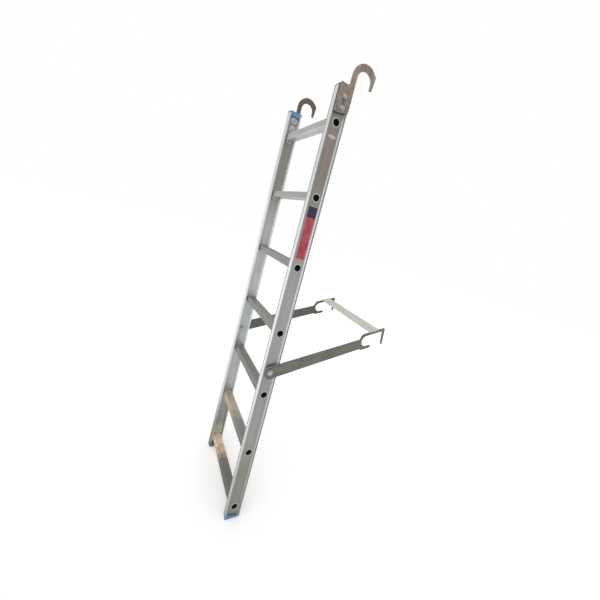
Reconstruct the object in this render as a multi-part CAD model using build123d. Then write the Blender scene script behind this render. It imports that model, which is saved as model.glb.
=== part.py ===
from build123d import *
import math
import os

# Hook-on scaffold ladder: two aluminium stiles, swaged rungs, two steel hooks that hang on a tube,
# and a folding stand-off frame whose jaws catch a second tube lower down.
# Frame: the origin is on the axis of the tube that the hooks hang on, midway between the stiles.
# +X runs to the climber's right along that tube, +Y to the rear where the scaffold is, +Z up the stiles.

# Ladder
RUNG_COUNT = 7
RUNG_PITCH = 280.0
OVERALL_WIDTH = 450.0
STILE_ABOVE_TOP_RUNG = 118.0
STILE_BELOW_FIRST_RUNG = 45.0
STILE_FOOT_SLANT = 12.5

# Stile: a hollow extrusion whose webs lie sunk between lips, its flanges closer together on the inner side
STILE_DEPTH = 67.0
STILE_WIDTH = 33.5
STILE_TAPER = 3.5
STILE_CORNER = 2.0
STILE_WALL = 2.0
OUTER_LIP_WIDTH = 8.0
INNER_LIP_WIDTH = 6.0
LIP_SLOPE = 3.5
OUTER_SINK = 6.5
INNER_SINK = 12.0

# Rung: a grooved flat tube with round necks, beaded inside the stile's web and spread to a collar outside
RUNG_DEPTH = 43.0
RUNG_HEIGHT = 29.0
RUNG_RISE = 4.0
RUNG_WALL = 1.9
RUNG_CORNER = 4.5
GROOVE_WIDTH = 2.4
GROOVE_DEPTH = 0.7
GROOVE_PITCH = 5.0
NECK_DIAMETER = 30.0
NECK_WALL = 1.6
SHOULDER_WALL = 2.0
BEAD_DIAMETER = 38.0
BEAD_LENGTH = 5.0
COLLAR_DIAMETER = 36.0
COLLAR_LENGTH = 1.8

# Plastic caps and feet, pushed into the stile ends
CAP_TOP = 8.0
CAP_EDGE = 1.2
PLUG_DEPTH = 18.0
FOOT_PLUG_DEPTH = 28.0
PLUG_WALL = 2.5
FOOT_HEEL = 9.0
SOLE_ANGLE = 4.0
SOLE_GROOVES = 5
SOLE_GROOVE_WIDTH = 3.0
SOLE_GROOVE_DEPTH = 1.5

# Hook: cut from plate, bolted to the outer side of the stile
HOOK_THICKNESS = 6.0
HOOK_RADIUS = 31.0
HOOK_BACK = 21.0
HOOK_CROWN = 4.5
HOOK_NOSE_ANGLE = 50.0
HOOK_NOSE_LENGTH = 17.0
HOOK_TIP_DROP = 19.0
HOOK_TIP_FLARE = 2.0
HOOK_TIP_WIDTH = 9.0
HOOK_PLATE_WIDTH = 60.5
HOOK_PLATE_HEIGHT = 104.5
HOOK_PLATE_SLANT = 12.0
HOOK_PLATE_CORNER = 6.0
HOOK_SHANK_FILLET = 11.0
RAIL_BEHIND_STILE_AXIS = 62.5
RAIL_ABOVE_TOP_RUNG = 169.0
HOOK_PLATE_BELOW_RAIL = 37.5
HOOK_BOLT_FROM_PLATE_FOOT = 21.0
HOOK_BOLT_SPACING = 40.0

# Stand-off frame: two flat arms that narrow towards open jaws, and a crossbar welded on their top edges
ARM_WIDTH = 55.0
ARM_NECK_WIDTH = 48.5
ARM_END = 18.0
ARM_END_CORNER = 16.0
ARM_THICKNESS = 6.0
ARM_REST_ANGLE = 18.2
ARM_TO_STILE = 1.0
PIVOT_ABOVE_RUNG = 113.0
RUNG_COUNT_BELOW_PIVOT = 3
PIVOT_FORWARD = 7.5
PIVOT_OFF_CENTRE = 5.0
JAW_REACH = 497.0
JAW_RADIUS = 27.5
JAW_RISE = 7.5
JAW_STRIP = 12.5
JAW_SLOPE = 20.0
FINGER_LENGTH = 24.0
FINGER_THICKNESS = 12.5
JAW_MOUTH = 66.0
CATCH_DROP = 43.0
CATCH_LEAN = 9.0
CATCH_WIDTH = 8.5
CROSSBAR_WIDTH = 53.0
CROSSBAR_THICKNESS = 5.0
CROSSBAR_FROM_JAW = 21.0
WELD_LEG = 4.0

# Fasteners
HOOK_BOLT = 10.0
HOOK_BOLT_FLATS = 16.0
HOOK_BOLT_HEAD = 6.4
HOOK_NUT = 8.4
HOOK_WASHER = 20.0
HOOK_NUT_WASHER = 33.0
HOOK_WASHER_THICKNESS = 2.0
PIVOT_BOLT = 12.0
PIVOT_BOLT_FLATS = 18.0
PIVOT_BOLT_HEAD = 7.5
PIVOT_NUT = 12.0
PIVOT_WASHER = 24.0
PIVOT_WASHER_THICKNESS = 2.5
BUSH_BARREL = 18.0
BUSH_FLANGE = 24.0
THREAD_END = 3.0
HEX_BEVEL = 0.94

# Label in the sunk web of the right stile
LABEL_WIDTH = 38.0
LABEL_HEIGHT = 208.0
LABEL_THICKNESS = 0.3
RUNG_COUNT_BELOW_LABEL = 5

# Clearances
NECK_PLAY = 0.05
PLUG_PLAY = 0.15
TONGUE_PLAY = 0.5
BOLT_PLAY = 0.25
PIVOT_PLAY = 0.05
SIDE_PLAY = 0.15

# Places that follow from the sizes above
stile_y = -RAIL_BEHIND_STILE_AXIS
outer_lip = OVERALL_WIDTH / 2
inner_lip = outer_lip - STILE_WIDTH
outer_web = outer_lip - OUTER_SINK
inner_web = inner_lip + INNER_SINK
box_x = (outer_web + inner_web) / 2
outer_half = STILE_DEPTH / 2
inner_half = outer_half - STILE_TAPER
outer_side = (outer_lip, outer_web, outer_half, OUTER_LIP_WIDTH)
inner_side = (inner_lip, inner_web, inner_half, INNER_LIP_WIDTH)
hollow_width = outer_web - inner_web - 2 * STILE_WALL
hollow_depth = 2 * (inner_half - STILE_WALL)
top_rung_z = -RAIL_ABOVE_TOP_RUNG
rung_z = [top_rung_z - (RUNG_COUNT - 1 - i) * RUNG_PITCH for i in range(RUNG_COUNT)]
stile_top = top_rung_z + STILE_ABOVE_TOP_RUNG
stile_foot = rung_z[0] - STILE_BELOW_FIRST_RUNG
foot_front = stile_foot + STILE_FOOT_SLANT / 2
foot_rear = stile_foot - STILE_FOOT_SLANT / 2
stile_front = stile_y - outer_half
stile_rear = stile_y + outer_half
plate_top = -HOOK_PLATE_BELOW_RAIL
plate_foot = plate_top - HOOK_PLATE_HEIGHT
hook_bolt_z = [plate_foot + HOOK_BOLT_FROM_PLATE_FOOT + i * HOOK_BOLT_SPACING for i in range(2)]
tongue_foot = hook_bolt_z[-1] + HOOK_NUT_WASHER / 2 + TONGUE_PLAY
pivot_y = stile_y - PIVOT_FORWARD
pivot_z = rung_z[RUNG_COUNT_BELOW_PIVOT - 1] + PIVOT_ABOVE_RUNG
arm_face = outer_lip + ARM_TO_STILE
arm_outside = arm_face + ARM_THICKNESS


def along_x(start, end, y, z, radius):
    """A round bar along X between two X values."""
    plane = Plane(origin=(start, y, z), z_dir=(1, 0, 0))
    return extrude(plane * Circle(radius), amount=end - start)


def ring_along_x(start, end, y, z, radius, bore):
    """A washer, bush or collar along X."""
    plane = Plane(origin=(start, y, z), z_dir=(1, 0, 0))
    return extrude(plane * (Circle(radius) - Circle(bore)), amount=end - start)


def hex_along_x(start, end, y, z, flats):
    """A bolt head or nut blank along X, its outer corners bevelled as on a turned blank."""
    plane = Plane(origin=(start, y, z), x_dir=(0, 1, 0), z_dir=(1, 0, 0))
    prism = extrude(plane * RegularPolygon(flats / 2, 6, major_radius=False), amount=end - start)
    corner = flats / math.sqrt(3)
    bevel = math.copysign(corner - flats / 2 * HEX_BEVEL, end - start)
    straight = along_x(start, end - bevel, y, z, corner * 1.01)
    cone = loft([
        Plane(origin=(end - bevel, y, z), z_dir=(1, 0, 0)) * Circle(corner * 1.01),
        Plane(origin=(end, y, z), z_dir=(1, 0, 0)) * Circle(flats / 2 * HEX_BEVEL),
    ])
    return prism & (straight + cone)


def round_corners(sketch, corners):
    """Round the corners of an outline that lie nearest to the given points."""
    for point, radius in corners:
        corner = sketch.vertices().sort_by_distance((point[0], point[1], 0))[0]
        sketch = fillet(corner, radius)
    return sketch


def write(name, shape):
    """Write one node; a list of shapes becomes a node of separate solids."""
    if isinstance(shape, list):
        shape = Compound(children=[solid for item in shape for solid in item.solids()])
    export_step(shape, f"parts/{name}.step")


def write_pair(name, shape):
    """Write a piece of the right side and its mirror image on the left."""
    items = shape if isinstance(shape, list) else [shape]
    write(f"{name}_right", shape)
    mirrored = [mirror(item, about=Plane.YZ) for item in items]
    write(f"{name}_left", mirrored if isinstance(shape, list) else mirrored[0])


def stile_outline():
    """The stile's outline across its length, as if its webs weren't sunk."""
    outline = make_face(Polyline(
        (outer_lip, -outer_half), (outer_lip, outer_half), (inner_lip, inner_half), (inner_lip, -inner_half),
        close=True,
    ))
    return Pos(0, stile_y) * fillet(outline.vertices(), STILE_CORNER)


def web_channel(lip, web, half, lip_width):
    """The space between two lips, with sloping sides, from the sunk web out past the lips."""
    lip_half = half - lip_width
    web_half = lip_half - LIP_SLOPE
    past = 2 * lip - web
    past_half = lip_half + LIP_SLOPE
    return Pos(0, stile_y) * make_face(Polyline(
        (web, -web_half), (lip, -lip_half), (past, -past_half),
        (past, past_half), (lip, lip_half), (web, web_half), close=True,
    ))


def stile_section():
    """The stile's section: the outline less both channels, hollow with an even wall."""
    section = stile_outline()
    for side in (outer_side, inner_side):
        section -= web_channel(*side)
    return section - offset(section, -STILE_WALL, kind=Kind.INTERSECTION)


def across_stile(*points):
    """A prism across the stile's width, from its outline in the ladder's side view."""
    side = Plane(origin=(inner_lip, 0, 0), x_dir=(0, 1, 0), z_dir=(1, 0, 0))
    return extrude(side * make_face(Polyline(*points, close=True)), amount=STILE_WIDTH)


def make_stile():
    """The right stile, cut slanting at its foot, with holes for necks, hook bolts and the pivot bolt."""
    stile = extrude(Plane.XY.offset(foot_rear) * stile_section(), amount=stile_top - foot_rear)
    stile -= across_stile((stile_front, foot_front), (stile_front, foot_rear), (stile_rear, foot_rear))
    for z in rung_z:
        stile -= along_x(inner_lip, outer_lip, stile_y, z, NECK_DIAMETER / 2 + NECK_PLAY)
    for z in hook_bolt_z:
        stile -= along_x(inner_lip, outer_lip, stile_y, z, HOOK_BOLT / 2 + BOLT_PLAY)
    return stile - along_x(inner_lip, outer_lip, pivot_y, pivot_z, PIVOT_BOLT / 2 + BOLT_PLAY)


def rung_section():
    """The rung's outline about its own centre, grooved on all four faces."""
    section = fillet(Rectangle(RUNG_DEPTH, RUNG_HEIGHT).vertices(), RUNG_CORNER)
    for turn, across, out in ((0, RUNG_DEPTH, RUNG_HEIGHT), (90, RUNG_HEIGHT, RUNG_DEPTH)):
        count = int((across - 2 * RUNG_CORNER - GROOVE_WIDTH) / GROOVE_PITCH) + 1
        for i in range(count):
            place = (i - (count - 1) / 2) * GROOVE_PITCH
            for side in (1, -1):
                groove = Pos(place, side * out / 2) * Rectangle(GROOVE_WIDTH, 2 * GROOVE_DEPTH)
                section -= Rot(0, 0, turn) * groove
    return section


def rounded_disc(seat, end, z, diameter):
    """A disc on a rung's axis, seated on a stile's web, with its free rim rounded."""
    disc = along_x(seat, end, stile_y, z, diameter / 2)
    rim = disc.edges().filter_by(GeomType.CIRCLE).sort_by_distance((end, stile_y, z))[0]
    return fillet(rim, abs(end - seat) * 0.6)


def make_rung(z):
    """A rung: flat tube between the stiles, beads on their inner webs, necks and the spread collars."""
    tube_end = inner_web - BEAD_LENGTH
    collar_end = outer_web + COLLAR_LENGTH
    neck = NECK_DIAMETER / 2
    bore = neck - NECK_WALL
    start = Plane(origin=(-tube_end, stile_y, z + RUNG_RISE), x_dir=(0, 1, 0), z_dir=(1, 0, 0))
    rung = extrude(start * rung_section(), amount=2 * tube_end)
    for side in (1, -1):
        rung += rounded_disc(side * inner_web, side * tube_end, z, BEAD_DIAMETER)
        rung += along_x(side * inner_web, side * outer_web, stile_y, z, neck)
        rung += rounded_disc(side * outer_web, side * collar_end, z, COLLAR_DIAMETER)
        rung -= along_x(side * inner_web, side * collar_end, stile_y, z, bore)
    hollow = Rectangle(RUNG_DEPTH - 2 * RUNG_WALL, RUNG_HEIGHT - 2 * RUNG_WALL)
    rung -= extrude(start.offset(SHOULDER_WALL) * hollow, amount=2 * (tube_end - SHOULDER_WALL))
    mouth = hollow & Pos(0, -RUNG_RISE) * Circle(bore)
    return rung - extrude(start.offset(-BEAD_LENGTH) * mouth, amount=2 * inner_web)


def plug_ring(z_start, length):
    """The hollow plug that holds a cap or foot in the stile's end."""
    outside = Rectangle(hollow_width - 2 * PLUG_PLAY, hollow_depth - 2 * PLUG_PLAY)
    inside = Rectangle(
        hollow_width - 2 * PLUG_PLAY - 2 * PLUG_WALL,
        hollow_depth - 2 * PLUG_PLAY - 2 * PLUG_WALL,
    )
    return extrude(Plane.XY.offset(z_start) * Pos(box_x, stile_y) * (outside - inside), amount=length)


def make_cap():
    """The top cap: a lid on the stile's end, tongues down the sunk webs to the washers, a plug inside."""
    lid_plane = Plane.XY.offset(stile_top)
    cap = extrude(lid_plane * stile_outline(), amount=CAP_TOP)
    cap = fillet(cap.faces().sort_by(Axis.Z)[-1].edges(), CAP_EDGE)
    cap += plug_ring(stile_top - PLUG_DEPTH, PLUG_DEPTH)
    for side in (outer_side, inner_side):
        tongue = web_channel(*side) & stile_outline()
        cap += extrude(lid_plane * tongue, amount=tongue_foot - stile_top)
    return cap


def make_foot():
    """The foot: a wedge on the stile's slanting end, its grooved sole level when the ladder leans."""
    sole = math.radians(SOLE_ANGLE)
    heel_z = stile_foot - FOOT_HEEL
    toe_z = heel_z - STILE_DEPTH * math.tan(sole)
    foot = extrude(Plane.XY.offset(toe_z) * stile_outline(), amount=foot_front - toe_z)
    foot -= across_stile((stile_front, foot_front), (stile_rear, foot_rear), (stile_rear, foot_front))
    foot -= across_stile((stile_front, toe_z), (stile_rear, heel_z), (stile_rear, toe_z))
    sole_plane = Plane(origin=(outer_lip - STILE_WIDTH / 2, stile_front, toe_z)).rotated((SOLE_ANGLE, 0, 0))
    for i in range(SOLE_GROOVES):
        along = STILE_DEPTH / math.cos(sole) * (i + 1) / (SOLE_GROOVES + 1)
        groove = Pos(0, along) * Box(2 * STILE_WIDTH, SOLE_GROOVE_WIDTH, 2 * SOLE_GROOVE_DEPTH)
        foot -= sole_plane * groove
    return foot + plug_ring(foot_rear, FOOT_PLUG_DEPTH)


def hook_outline():
    """The hook in the plane across the tube, about the tube's axis: plate, shank, crook and nose."""
    outer = HOOK_RADIUS + HOOK_BACK
    nose = math.radians(HOOK_NOSE_ANGLE)
    nose_start = (outer * math.cos(nose), HOOK_CROWN + outer * math.sin(nose))
    nose_end = (
        nose_start[0] + HOOK_NOSE_LENGTH * math.sin(nose),
        nose_start[1] - HOOK_NOSE_LENGTH * math.cos(nose),
    )
    tip_inner = (HOOK_RADIUS + HOOK_TIP_FLARE, -HOOK_TIP_DROP)
    tip_outer = (tip_inner[0] + HOOK_TIP_WIDTH, -HOOK_TIP_DROP)
    rear, front = -HOOK_RADIUS, -HOOK_RADIUS - HOOK_PLATE_WIDTH
    rear_foot = (rear, plate_foot + HOOK_PLATE_SLANT)
    edges = [
        Polyline((rear, 0), rear_foot, (front, plate_foot), (front, plate_top),
                 (-outer, plate_top), (-outer, HOOK_CROWN)),
        CenterArc((0, HOOK_CROWN), outer, 180, HOOK_NOSE_ANGLE - 180),
        Polyline(nose_start, nose_end, tip_outer, tip_inner, (HOOK_RADIUS, 0)),
        CenterArc((0, 0), HOOK_RADIUS, 0, 180),
    ]
    corners = [
        (rear_foot, HOOK_PLATE_CORNER),
        ((front, plate_foot), HOOK_PLATE_CORNER),
        ((front, plate_top), HOOK_PLATE_CORNER),
        ((-outer, plate_top), HOOK_SHANK_FILLET),
        (nose_end, HOOK_TIP_WIDTH / 2),
        (tip_outer, HOOK_TIP_WIDTH * 0.4),
        (tip_inner, HOOK_TIP_WIDTH * 0.4),
    ]
    return round_corners(make_face(edges), corners)


def make_hook():
    """The right hook, flat against the lips of the stile's outer side."""
    hook = extrude(Plane.YZ.offset(outer_lip) * hook_outline(), amount=HOOK_THICKNESS)
    for z in hook_bolt_z:
        hook -= along_x(outer_lip, outer_lip + HOOK_THICKNESS, stile_y, z, HOOK_BOLT / 2 + BOLT_PLAY)
    return hook


def arm_outline():
    """The arm in its own plane: x along its middle from the pivot, y across it towards the crossbar."""
    half, neck = ARM_WIDTH / 2, ARM_NECK_WIDTH / 2
    jaw_x, jaw_y = JAW_REACH, JAW_RISE
    throat = jaw_x - JAW_RADIUS
    finger_top = jaw_y - JAW_RADIUS
    finger_foot = finger_top - FINGER_THICKNESS
    finger_end = jaw_x + FINGER_LENGTH
    strip_foot = jaw_y + JAW_RADIUS
    strip_top = strip_foot + JAW_STRIP
    lean = math.tan(math.radians(CATCH_LEAN))
    catch_end = (finger_end + JAW_MOUTH, jaw_y - CATCH_DROP)
    catch_root = (catch_end[0] + lean * (strip_foot - catch_end[1]), strip_foot)
    catch_tip = (catch_end[0] + CATCH_WIDTH, catch_end[1])
    catch_back = (catch_root[0] + JAW_STRIP + lean * JAW_STRIP, strip_top)
    step = (throat - JAW_SLOPE / 2, neck)
    step_top = (throat + JAW_SLOPE / 2, strip_top)
    finger_heel = (throat, finger_foot)
    edges = [
        Polyline((0, half), (-ARM_END, half), (-ARM_END, -half), (throat - JAW_SLOPE, -neck), finger_heel,
                 (finger_end, finger_foot), (finger_end, finger_top), (jaw_x, finger_top)),
        CenterArc((jaw_x, jaw_y), JAW_RADIUS, 270, -180),
        Polyline((jaw_x, strip_foot), catch_root, catch_end, catch_tip, catch_back, step_top, step,
                 (0, half)),
    ]
    corners = [
        ((-ARM_END, half), ARM_END_CORNER),
        ((-ARM_END, -half), ARM_END_CORNER),
        ((throat - JAW_SLOPE, -neck), ARM_WIDTH / 5),
        (finger_heel, FINGER_THICKNESS / 2),
        ((finger_end, finger_foot), FINGER_THICKNESS * 0.45),
        ((finger_end, finger_top), FINGER_THICKNESS * 0.45),
        (catch_root, JAW_STRIP / 3),
        (catch_end, CATCH_WIDTH * 0.4),
        (catch_tip, CATCH_WIDTH * 0.4),
        (catch_back, JAW_STRIP / 2),
        (step_top, JAW_STRIP / 2),
        (step, JAW_STRIP / 2),
    ]
    return round_corners(make_face(edges), corners)


def arm_plane(x):
    """The plane of an arm at rest, turned up from level, its middle a little below the pivot."""
    angle = math.radians(ARM_REST_ANGLE)
    along, across = math.cos(angle), math.sin(angle)
    return Plane(
        origin=(x, pivot_y + PIVOT_OFF_CENTRE * across, pivot_z - PIVOT_OFF_CENTRE * along),
        x_dir=(0, along, across),
        z_dir=(1, 0, 0),
    )


def make_arm():
    """The right arm of the stand-off frame, with the hole that turns on the pivot bush."""
    arm = extrude(arm_plane(arm_face) * arm_outline(), amount=ARM_THICKNESS)
    return arm - along_x(arm_face, arm_outside, pivot_y, pivot_z, BUSH_BARREL / 2 + PIVOT_PLAY)


def make_crossbar():
    """The flat crossbar on the arms' top edges, with the weld seams along the arms' inner faces."""
    foot = JAW_RISE + JAW_RADIUS + JAW_STRIP
    start = JAW_REACH + CROSSBAR_FROM_JAW
    across = arm_plane(-arm_outside)
    flat = Pos(start + CROSSBAR_WIDTH / 2, foot + CROSSBAR_THICKNESS / 2)
    bar = extrude(across * flat * Rectangle(CROSSBAR_WIDTH, CROSSBAR_THICKNESS), amount=2 * arm_outside)
    weld_start = Plane(origin=across.from_local_coords((start + WELD_LEG, foot, 0)), x_dir=(1, 0, 0),
                       z_dir=across.x_dir)
    for side in (1, -1):
        root = arm_outside + side * arm_face
        seam = make_face(Polyline((root, 0), (root - side * WELD_LEG, 0), (root, WELD_LEG), close=True))
        bar += extrude(weld_start * seam, amount=CROSSBAR_WIDTH - 2 * WELD_LEG)
    return bar


def make_hook_fasteners():
    """The right hook's two bolts, their four washers and two nuts."""
    bolts, washers, nuts = [], [], []
    shank = HOOK_BOLT / 2
    hole = shank + BOLT_PLAY
    head_seat = outer_lip + HOOK_THICKNESS + HOOK_WASHER_THICKNESS
    nut_seat = inner_web - HOOK_WASHER_THICKNESS
    nut_end = nut_seat - HOOK_NUT
    for z in hook_bolt_z:
        head = hex_along_x(head_seat, head_seat + HOOK_BOLT_HEAD, stile_y, z, HOOK_BOLT_FLATS)
        bolts.append(head + along_x(nut_end - THREAD_END, head_seat, stile_y, z, shank))
        outer_seat = head_seat - HOOK_WASHER_THICKNESS
        washers.append(ring_along_x(outer_seat, head_seat, stile_y, z, HOOK_WASHER / 2, hole))
        washers.append(ring_along_x(nut_seat, inner_web, stile_y, z, HOOK_NUT_WASHER / 2, hole))
        nut = hex_along_x(nut_seat, nut_end, stile_y, z, HOOK_BOLT_FLATS)
        nuts.append(nut - along_x(nut_end, nut_seat, stile_y, z, shank))
    return bolts, washers, nuts


def make_pivot():
    """The right pivot: shouldered bush that the arm turns on, bolt, two washers and the locking nut."""
    shank = PIVOT_BOLT / 2
    hole = shank + BOLT_PLAY
    shoulder = arm_face - SIDE_PLAY
    barrel_end = arm_outside + SIDE_PLAY
    bush = along_x(outer_web, shoulder, pivot_y, pivot_z, BUSH_FLANGE / 2)
    bush += along_x(shoulder, barrel_end, pivot_y, pivot_z, BUSH_BARREL / 2)
    bush -= along_x(outer_web, barrel_end, pivot_y, pivot_z, hole)
    head_seat = barrel_end + PIVOT_WASHER_THICKNESS
    nut_seat = inner_web - PIVOT_WASHER_THICKNESS
    nut_end = nut_seat - PIVOT_NUT
    washers = [
        ring_along_x(barrel_end, head_seat, pivot_y, pivot_z, PIVOT_WASHER / 2, hole),
        ring_along_x(nut_seat, inner_web, pivot_y, pivot_z, PIVOT_WASHER / 2, hole),
    ]
    bolt = hex_along_x(head_seat, head_seat + PIVOT_BOLT_HEAD, pivot_y, pivot_z, PIVOT_BOLT_FLATS)
    bolt += along_x(nut_end - THREAD_END, head_seat, pivot_y, pivot_z, shank)
    nut = hex_along_x(nut_seat, nut_end, pivot_y, pivot_z, PIVOT_BOLT_FLATS)
    nut -= along_x(nut_end, nut_seat, pivot_y, pivot_z, shank)
    return bush, washers, bolt, nut


def make_label():
    """The bare label stuck in the sunk web of the right stile, midway between two rungs."""
    middle = rung_z[RUNG_COUNT_BELOW_LABEL - 1] + RUNG_PITCH / 2
    place = Plane(origin=(outer_web, stile_y, middle), x_dir=(0, 1, 0), z_dir=(1, 0, 0))
    return extrude(place * Rectangle(LABEL_WIDTH, LABEL_HEIGHT), amount=LABEL_THICKNESS)


os.makedirs("parts", exist_ok=True)
write_pair("stile", make_stile())
for number, z in enumerate(rung_z, start=1):
    write(f"rung_{number}", make_rung(z))
write_pair("top_cap", make_cap())
write_pair("foot", make_foot())
write_pair("hook", make_hook())
hook_bolts, hook_washers, hook_nuts = make_hook_fasteners()
write_pair("hook_bolts", hook_bolts)
write_pair("hook_washers", hook_washers)
write_pair("hook_nuts", hook_nuts)
write_pair("standoff_arm", make_arm())
write("standoff_crossbar", make_crossbar())
pivot_bush, pivot_washers, pivot_bolt, pivot_nut = make_pivot()
write_pair("pivot_bush", pivot_bush)
write_pair("pivot_washers", pivot_washers)
write_pair("pivot_bolt", pivot_bolt)
write_pair("pivot_lock_nut", pivot_nut)
write("label", make_label())
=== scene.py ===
"""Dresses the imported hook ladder: aluminium, steel, plastic and label finishes, broken edges, bolt
threads, lock-nut collars, weld beads, and a plain studio with a camera at the photograph's angle."""

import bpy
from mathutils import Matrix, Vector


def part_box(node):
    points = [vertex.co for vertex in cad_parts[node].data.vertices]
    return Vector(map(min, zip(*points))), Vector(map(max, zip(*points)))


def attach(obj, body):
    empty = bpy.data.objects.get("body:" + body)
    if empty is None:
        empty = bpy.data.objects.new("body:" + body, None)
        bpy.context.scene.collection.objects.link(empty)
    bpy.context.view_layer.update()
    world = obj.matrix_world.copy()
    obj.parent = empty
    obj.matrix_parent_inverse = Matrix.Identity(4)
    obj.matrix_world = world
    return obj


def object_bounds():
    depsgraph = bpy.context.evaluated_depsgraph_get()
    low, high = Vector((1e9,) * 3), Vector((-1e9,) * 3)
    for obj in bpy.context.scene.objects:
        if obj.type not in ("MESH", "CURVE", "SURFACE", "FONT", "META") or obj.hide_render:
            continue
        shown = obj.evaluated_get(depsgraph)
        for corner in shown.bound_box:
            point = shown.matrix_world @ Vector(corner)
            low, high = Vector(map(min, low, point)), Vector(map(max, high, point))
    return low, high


bl_info = {
    "name": "Hook ladder finish",
    "version": (1, 1, 0),
    "blender": (4, 5, 0),
    "location": "View3D > Sidebar > Ladder",
    "description": "Finishes a hook-on scaffold ladder and stands it in a plain studio",
    "category": "Object",
}

import math

import bpy
from bpy.props import FloatProperty, FloatVectorProperty, IntProperty, PointerProperty
from bpy.types import NodeSocket, Operator, Panel, PropertyGroup
from mathutils import Color, Matrix, Vector

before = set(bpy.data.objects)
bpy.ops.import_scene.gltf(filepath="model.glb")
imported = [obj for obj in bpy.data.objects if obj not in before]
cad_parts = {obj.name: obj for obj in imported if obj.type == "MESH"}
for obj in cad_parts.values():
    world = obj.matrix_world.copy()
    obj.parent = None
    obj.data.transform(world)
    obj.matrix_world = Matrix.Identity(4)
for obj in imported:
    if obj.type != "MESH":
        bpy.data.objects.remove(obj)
cad_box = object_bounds()

MM = 0.001

# The sides' names in the CAD nodes, with the sign of X there
SIDES = {"right": 1, "left": -1}

# Side of the photograph in pixels, and width in millimetres of the sensor that the lens is worked out for
IMAGE_SIDE = 600
SENSOR_WIDTH = 36.0

# Distance from the middle plane at which a layer for the left side is full
LEFT_BLEND = 100 * MM

# Thickness of mud, from 0 to 1, at which it starts to show and at which it covers most
MUD_SHOWS = 0.07
MUD_COVERS = 0.44


def linear(hex_colour):
    """Turn an sRGB hex colour into the linear values that shaders use."""
    channels = (int(hex_colour[i:i + 2], 16) / 255 for i in (1, 3, 5))
    return tuple(c / 12.92 if c <= 0.04045 else ((c + 0.055) / 1.055) ** 2.4 for c in channels)


def colour(name, description, hex_colour):
    """A colour that a user would change, given as an sRGB hex value."""
    return FloatVectorProperty(
        name=name, description=description, subtype="COLOR", size=3, min=0, max=1,
        default=linear(hex_colour),
    )


def length(name, description, millimetres):
    """A length that a user would change, given in millimetres and kept in metres."""
    return FloatProperty(name=name, description=description, unit="LENGTH", default=millimetres * MM)


def lengths(name, description, *millimetres):
    """Lengths that a user would change together, given in millimetres and kept in metres."""
    return FloatVectorProperty(
        name=name, description=description, unit="LENGTH", size=len(millimetres),
        default=[value * MM for value in millimetres],
    )


def angle(name, description, degrees):
    """An angle that a user would change, given in degrees."""
    return FloatProperty(name=name, description=description, subtype="ANGLE", default=math.radians(degrees))


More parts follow.
